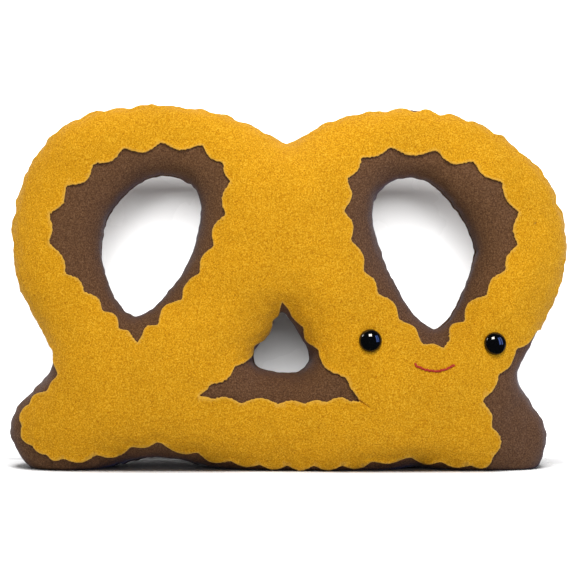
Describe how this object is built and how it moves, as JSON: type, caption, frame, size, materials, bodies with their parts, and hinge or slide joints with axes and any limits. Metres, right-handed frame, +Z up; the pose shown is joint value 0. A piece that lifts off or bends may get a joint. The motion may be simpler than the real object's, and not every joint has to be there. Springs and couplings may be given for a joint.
{
  "type": "stuffed felt pretzel toy",
  "caption": "Stuffed felt cushion toy shaped like a pretzel, with scalloped yellow felt over brown, domed plastic eyes and a stitched smile, standing on its lower edge.",
  "frame": {"origin": "on the surface that the toy stands on, under the middle of its width and depth", "axes": "+Z up, +X to the right of a viewer who faces the smile, +Y from the smiling front to the plain back"},
  "size_m": [0.368, 0.0776, 0.2413],
  "materials": {
    "brown_felt": "pressed wool-blend craft felt, matt and slightly fuzzy",
    "yellow_felt": "pressed wool-blend craft felt, matt and slightly fuzzy, with hand-cut edges",
    "fibrefill": "loose polyester fibre",
    "black_plastic": "moulded and polished",
    "white_plastic": "moulded, plain",
    "red_floss": "twisted cotton embroidery floss"
  },
  "bodies": {
    "root": {"front_panel": "brown_felt", "back_panel": "brown_felt", "stuffing": "fibrefill", "yellow_overlay": "yellow_felt", "left_eye": "black_plastic", "left_eye_washer": "white_plastic", "right_eye": "black_plastic", "right_eye_washer": "white_plastic", "smile_stitch": "red_floss"}
  },
  "joints": []
}
